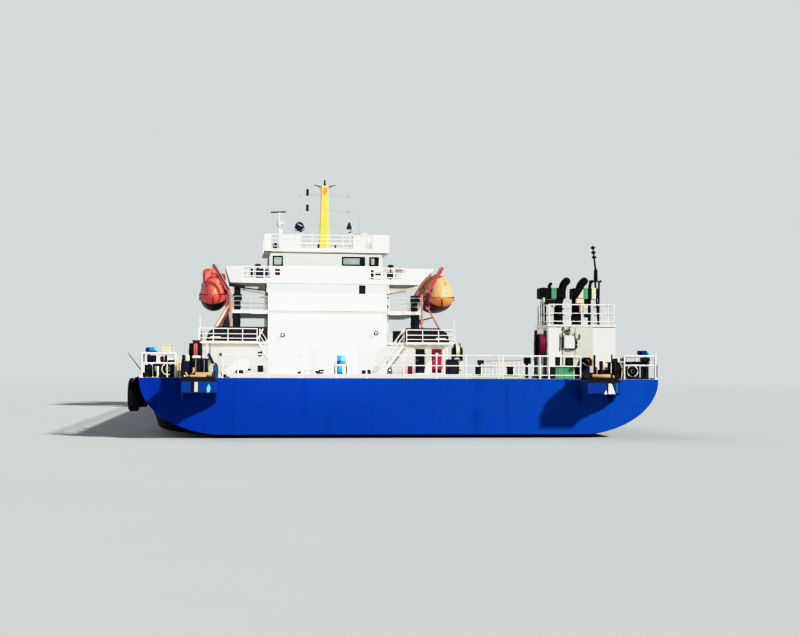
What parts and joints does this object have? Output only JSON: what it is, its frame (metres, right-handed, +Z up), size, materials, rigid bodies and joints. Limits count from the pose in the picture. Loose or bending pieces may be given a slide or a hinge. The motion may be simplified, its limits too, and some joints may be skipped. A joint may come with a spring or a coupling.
{
  "type": "river barge, 1:2 scale model",
  "caption": "Self-propelled flat-deck river barge with its deckhouse forward and an engine casing aft, as a 1:2 scale model",
  "frame": {"origin": "on the centreline, on the flat bottom, midway between the transom and the stem", "axes": "+X to starboard, +Y forward, +Z up"},
  "size_m": [11.7503, 34.75, 10.35],
  "materials": {
    "hull_paint": "semi-gloss blue marine paint, weathered",
    "bottom_paint": "matt dark antifouling",
    "bronze": "cast bronze",
    "tyre_rubber": "worn black rubber",
    "machinery": "dark oily deck paint",
    "reel_red": "dark red paint",
    "white_paint": "cream white semi-gloss marine paint",
    "black_paint": "black paint",
    "davit_paint": "faded red primer",
    "boat_orange": "orange glass-reinforced plastic",
    "mast_yellow": "yellow paint",
    "green_paint": "green paint"
  },
  "bodies": {
    "root": {"hull": "hull_paint", "sponson_port": "hull_paint", "sponson_starboard": "hull_paint", "forecastle": "hull_paint", "skeg_port": "bottom_paint", "skeg_starboard": "bottom_paint", "tyre_fender": "tyre_rubber", "fairlead_port": "machinery", "fairlead_starboard": "machinery", "winch_frame_port": "machinery", "winch_frame_starboard": "machinery", "reel_frame_port": "machinery", "reel_frame_starboard": "machinery", "reel_frame_forward": "machinery", "searchlight_port": "machinery", "searchlight_starboard": "machinery", "windlass_frame": "machinery", "casing_mast": "machinery", "side_rail_port": "white_paint", "side_rail_starboard": "white_paint", "stern_rail": "white_paint", "stair_port": "white_paint", "stair_starboard": "white_paint", "engine_casing": "white_paint", "main_house": "white_paint", "boat_deck": "white_paint", "second_house": "white_paint", "gallery_deck": "white_paint", "third_house": "white_paint", "bridge_deck": "white_paint", "wheelhouse": "white_paint", "compass_deck": "white_paint", "radar_pedestal": "white_paint", "davit_frame_port": "black_paint", "davit_frame_starboard": "black_paint", "fore_bulwark": "black_paint", "mast": "mast_yellow", "deck_box": "green_paint", "exhaust_inner": "green_paint", "exhaust_outer": "green_paint"},
    "propeller_port": {"propeller_port": "bronze"},
    "rudder_port": {"rudder_port": "bottom_paint"},
    "winch_drum_port": {"winch_drum_port": "machinery"},
    "propeller_starboard": {"propeller_starboard": "bronze"},
    "rudder_starboard": {"rudder_starboard": "bottom_paint"},
    "winch_drum_starboard": {"winch_drum_starboard": "machinery"},
    "reel_port": {"reel_port": "reel_red"},
    "reel_starboard": {"reel_starboard": "reel_red"},
    "reel_forward": {"reel_forward": "reel_red"},
    "windlass_drum": {"windlass_drum": "machinery"},
    "radar_scanner": {"radar_scanner": "machinery"},
    "door_core_port": {"door_core_port": "white_paint"},
    "door_core_starboard": {"door_core_starboard": "white_paint"},
    "door_side_inner": {"door_side_inner": "white_paint"},
    "door_side_outer": {"door_side_outer": "reel_red"},
    "davit_port": {"davit_arms_port": "davit_paint"},
    "lifeboat_port": {"lifeboat_port": "boat_orange"},
    "davit_starboard": {"davit_arms_starboard": "davit_paint"},
    "lifeboat_starboard": {"lifeboat_starboard": "boat_orange"}
  },
  "joints": [
    {"name": "propeller_port_spin", "type": "hinge", "parent": "root", "child": "propeller_port", "pos_m": [-2.25, -15.25, 0.55], "axis": [0, 1, 0], "continuous": true},
    {"name": "rudder_port_turn", "type": "hinge", "parent": "root", "child": "rudder_port", "pos_m": [-2.25, -16.125, 0.55], "axis": [0, 0, 1], "range_deg": [-35, 35]},
    {"name": "winch_drum_port_turn", "type": "hinge", "parent": "root", "child": "winch_drum_port", "pos_m": [-5.175, -15.7, 2.585], "axis": [0, 1, 0], "continuous": true},
    {"name": "propeller_starboard_spin", "type": "hinge", "parent": "root", "child": "propeller_starboard", "pos_m": [2.25, -15.25, 0.55], "axis": [0, 1, 0], "continuous": true},
    {"name": "rudder_starboard_turn", "type": "hinge", "parent": "root", "child": "rudder_starboard", "pos_m": [2.25, -16.125, 0.55], "axis": [0, 0, 1], "range_deg": [-35, 35]},
    {"name": "winch_drum_starboard_turn", "type": "hinge", "parent": "root", "child": "winch_drum_starboard", "pos_m": [5.45, -15.7, 2.585], "axis": [0, 1, 0], "continuous": true},
    {"name": "reel_port_turn", "type": "hinge", "parent": "root", "child": "reel_port", "pos_m": [-4.59, -15, 2.975], "axis": [1, 0, 0], "continuous": true},
    {"name": "reel_starboard_turn", "type": "hinge", "parent": "root", "child": "reel_starboard", "pos_m": [3.465, -15.2, 3.2], "axis": [1, 0, 0], "continuous": true},
    {"name": "reel_forward_turn", "type": "hinge", "parent": "root", "child": "reel_forward", "pos_m": [4.775, 3.8, 3.325], "axis": [1, 0, 0], "continuous": true},
    {"name": "windlass_turn", "type": "hinge", "parent": "root", "child": "windlass_drum", "pos_m": [0, 14.5, 3.475], "axis": [1, 0, 0], "continuous": true},
    {"name": "radar_turn", "type": "hinge", "parent": "root", "child": "radar_scanner", "pos_m": [-1.85, 7, 8.725], "axis": [0, 0, 1], "continuous": true},
    {"name": "door_core_port_swing", "type": "hinge", "parent": "root", "child": "door_core_port", "pos_m": [0.225, 5.4747, 3], "axis": [0, 0, -1], "range_deg": [-110, 0]},
    {"name": "door_core_starboard_swing", "type": "hinge", "parent": "root", "child": "door_core_starboard", "pos_m": [1.275, 5.4747, 3], "axis": [0, 0, -1], "range_deg": [0, 110]},
    {"name": "door_side_inner_swing", "type": "hinge", "parent": "root", "child": "door_side_inner", "pos_m": [3.875, 6.0747, 3], "axis": [0, 0, -1], "range_deg": [-110, 0]},
    {"name": "door_side_outer_swing", "type": "hinge", "parent": "root", "child": "door_side_outer", "pos_m": [4.56, 6.0747, 3], "axis": [0, 0, -1], "range_deg": [-110, 0]},
    {"name": "davit_port_swing", "type": "hinge", "parent": "root", "child": "davit_port", "pos_m": [-4.45, 6.8, 3.875], "axis": [0, -1, 0], "range_deg": [0, 50]},
    {"name": "lifeboat_port_level", "type": "hinge", "parent": "davit_port", "child": "lifeboat_port", "pos_m": [-4.4, 6.8, 6.55], "axis": [0, -1, 0], "range_deg": [-50, 0]},
    {"name": "davit_starboard_swing", "type": "hinge", "parent": "root", "child": "davit_starboard", "pos_m": [4.45, 6.8, 3.875], "axis": [0, 1, 0], "range_deg": [0, 50]},
    {"name": "lifeboat_starboard_level", "type": "hinge", "parent": "davit_starboard", "child": "lifeboat_starboard", "pos_m": [4.4, 6.8, 6.55], "axis": [0, 1, 0], "range_deg": [-50, 0]}
  ],
  "couplings": [
    {"joint": "lifeboat_port_level", "follows": "davit_port_swing", "ratio": -1},
    {"joint": "lifeboat_starboard_level", "follows": "davit_starboard_swing", "ratio": -1}
  ]
}
